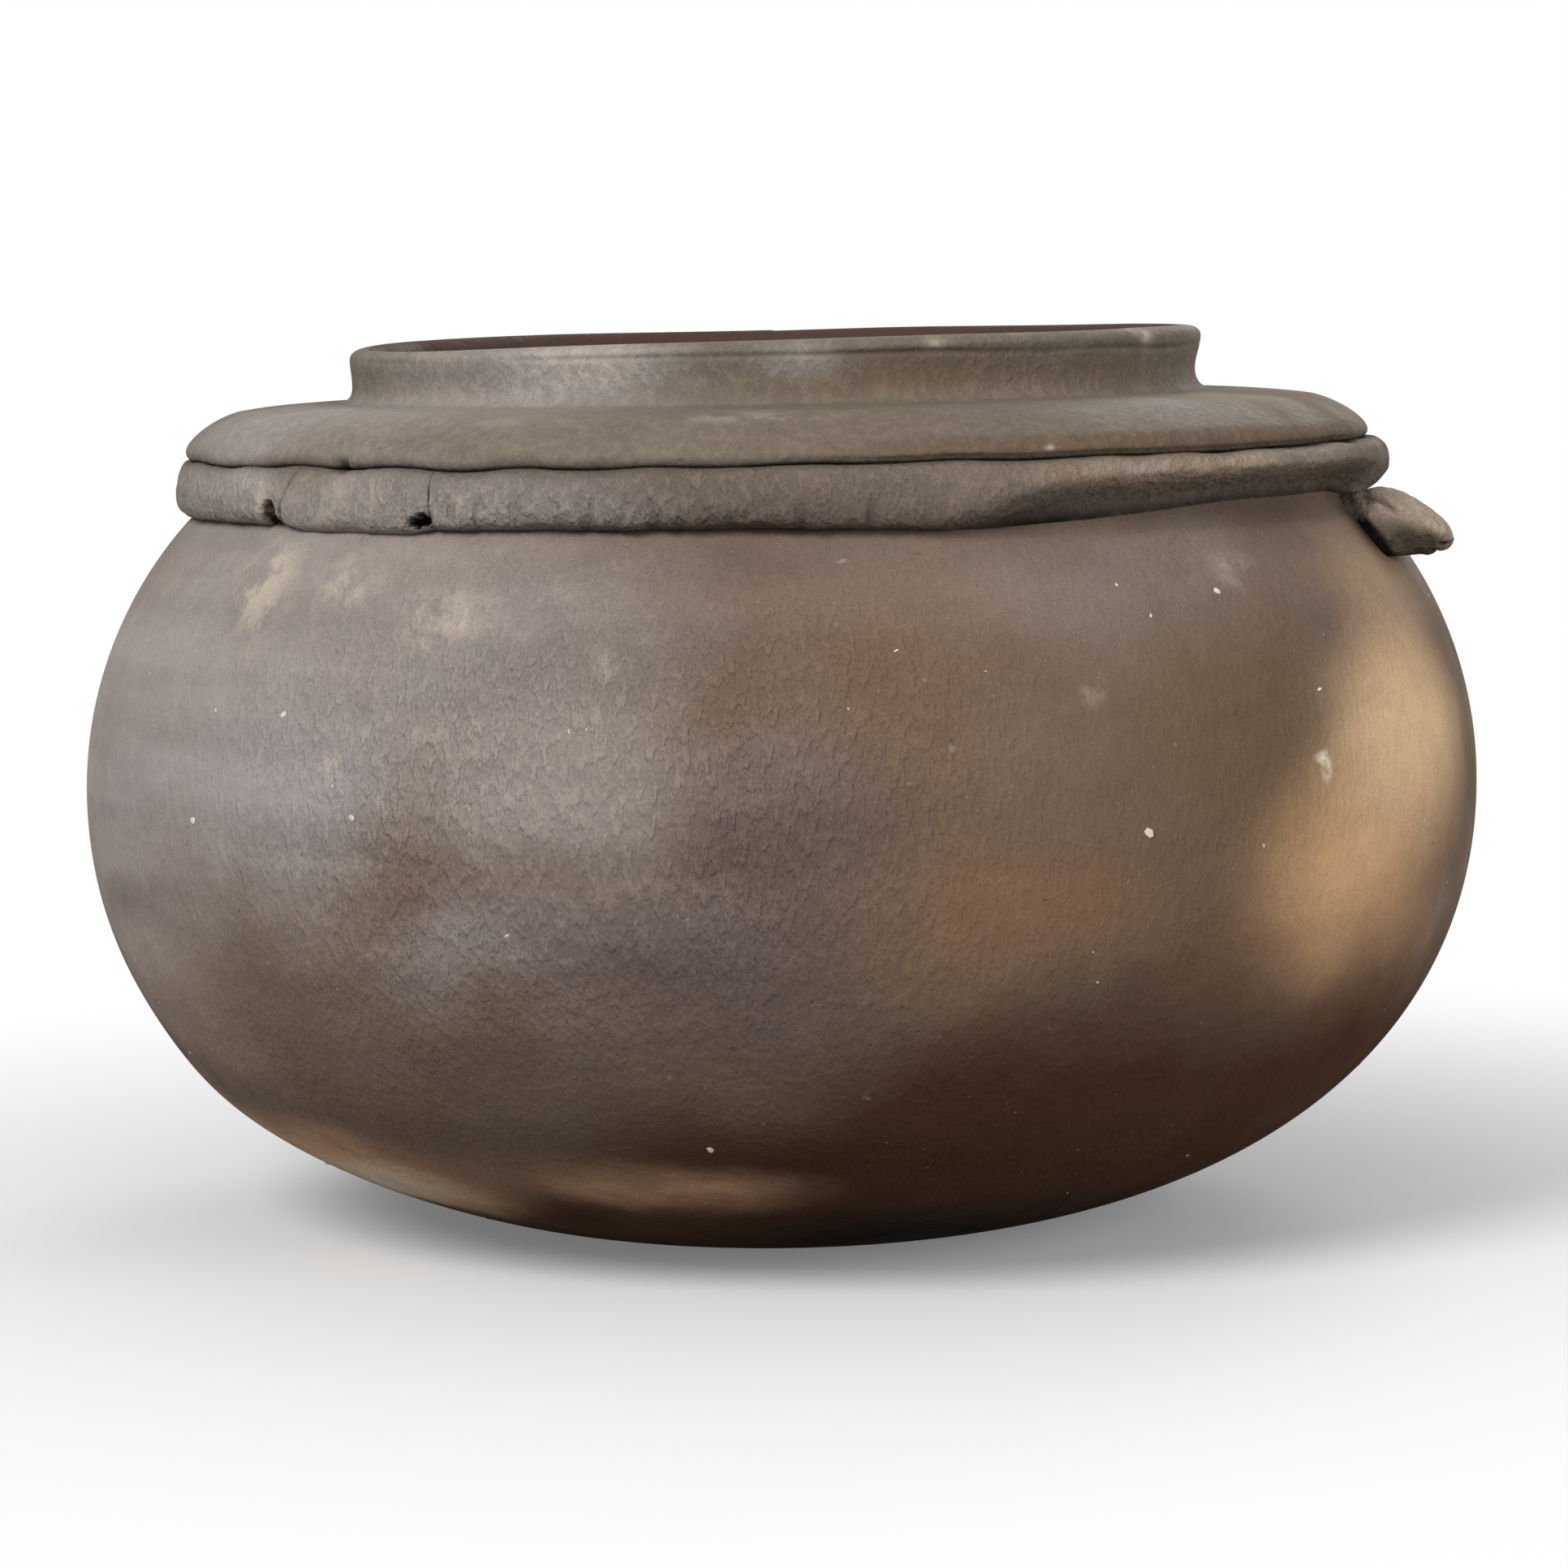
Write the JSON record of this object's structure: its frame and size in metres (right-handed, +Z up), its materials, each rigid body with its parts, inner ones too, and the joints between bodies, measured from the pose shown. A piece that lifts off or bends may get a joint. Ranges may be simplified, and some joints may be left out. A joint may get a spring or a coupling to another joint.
{
  "type": "pottery vase",
  "caption": "Squat round-bottomed smoke-fired clay vase with a short neck, a stepped shoulder ledge and an applied serpent coil with a small head.",
  "frame": {"origin": "middle of the flat foot, on the surface the vase stands on", "axes": "+Z up through the mouth, front towards -Y, the serpent's head out towards +X"},
  "size_m": [0.25, 0.25, 0.1584],
  "materials": {
    "foot_clay": "matte, smoke-blackened and worn",
    "lower_clay": "burnished, fire-clouded dark brown",
    "upper_clay": "burnished, fire-clouded grey-brown",
    "ledge_clay": "burnished grey-brown",
    "neck_clay": "wiped grey with turning streaks",
    "lip_clay": "rubbed pale along its edge",
    "coil_clay": "pressed and wiped grey-brown",
    "head_clay": "pinched, tan with a reddish snout"
  },
  "bodies": {
    "root": {"foot_pad": "foot_clay", "first_course": "lower_clay", "second_course": "lower_clay", "third_course": "upper_clay", "fourth_course": "upper_clay", "shoulder_ledge": "ledge_clay", "neck_collar": "neck_clay", "rolled_lip": "lip_clay", "serpent_coil_front": "coil_clay", "serpent_coil_back": "coil_clay", "serpent_coil_patch": "coil_clay", "serpent_head": "head_clay"}
  },
  "joints": []
}
